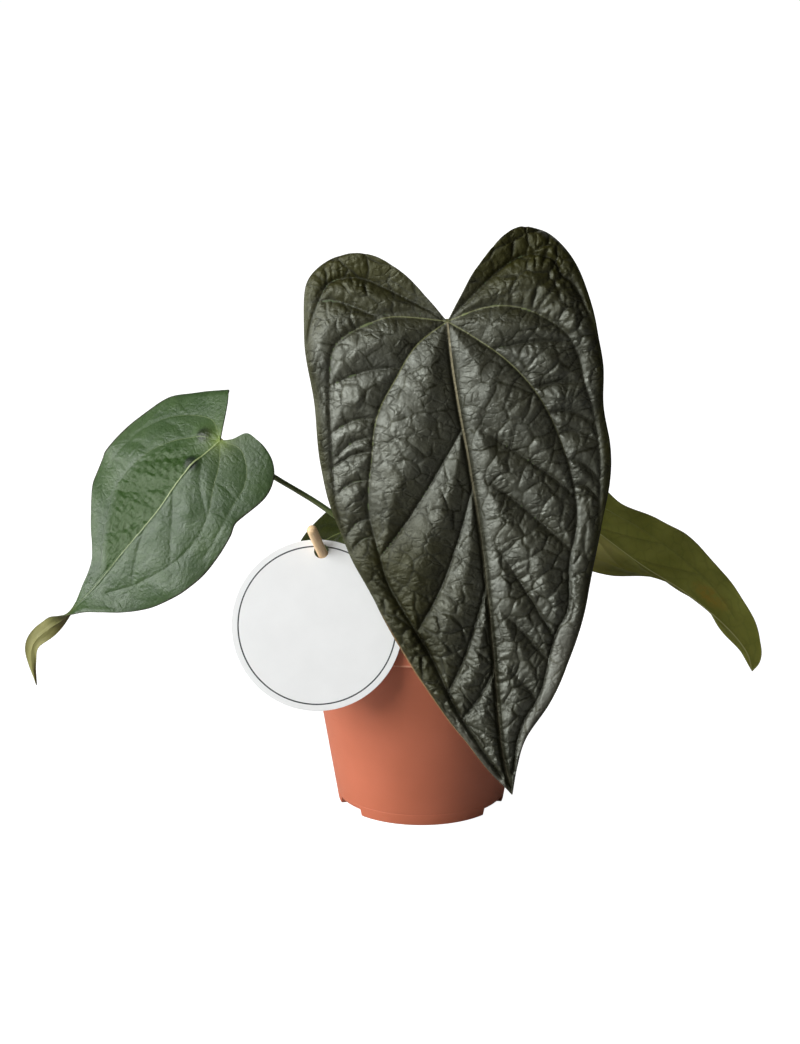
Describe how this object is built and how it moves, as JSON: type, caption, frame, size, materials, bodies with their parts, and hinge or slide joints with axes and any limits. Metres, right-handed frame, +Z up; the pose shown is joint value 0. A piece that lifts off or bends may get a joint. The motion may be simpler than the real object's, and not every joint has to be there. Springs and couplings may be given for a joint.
{
  "type": "potted queen of hearts anthurium",
  "caption": "Aroid house plant with large heart-shaped quilted leaves on long stalks, in a filled round nursery pot with a blank round tag on a wooden stick.",
  "frame": {"origin": "middle of the whole plant's box in plan, on the surface the pot stands on; the pot's own axis is at x 0.01133, y 0.01564", "axes": "+Z up; -Y is the front, where the big leaf hangs; +X to the viewer's right"},
  "size_m": [0.3766, 0.1588, 0.3012],
  "materials": {
    "pot_plastic": "terracotta coloured injection moulded polypropylene, satin",
    "potting_mix": "loose bark and coir mix with a few grains of perlite, matte",
    "stem": "short green-brown stem with dry papery sheaths",
    "stalk": "smooth green leaf stalk, satin",
    "leaf_mature": "dark green quilted blade with a satin sheen and sunken veins",
    "leaf_green": "mid green blade, glossy, with fine sunken veins",
    "leaf_olive": "olive green blade, matte underside with a pale raised midrib",
    "wood_stick": "bare turned softwood",
    "tag_card": "smooth white card with a thin dark printed ring"
  },
  "bodies": {
    "root": {"pot": "pot_plastic", "soil": "potting_mix", "crown": "stem", "stalk_front": "stalk", "stalk_left": "stalk", "stalk_right": "stalk", "stalk_back": "stalk", "leaf_front": "leaf_mature", "leaf_left": "leaf_green", "leaf_right": "leaf_olive", "leaf_back": "leaf_mature", "stick": "wood_stick", "tag": "tag_card"}
  },
  "joints": []
}
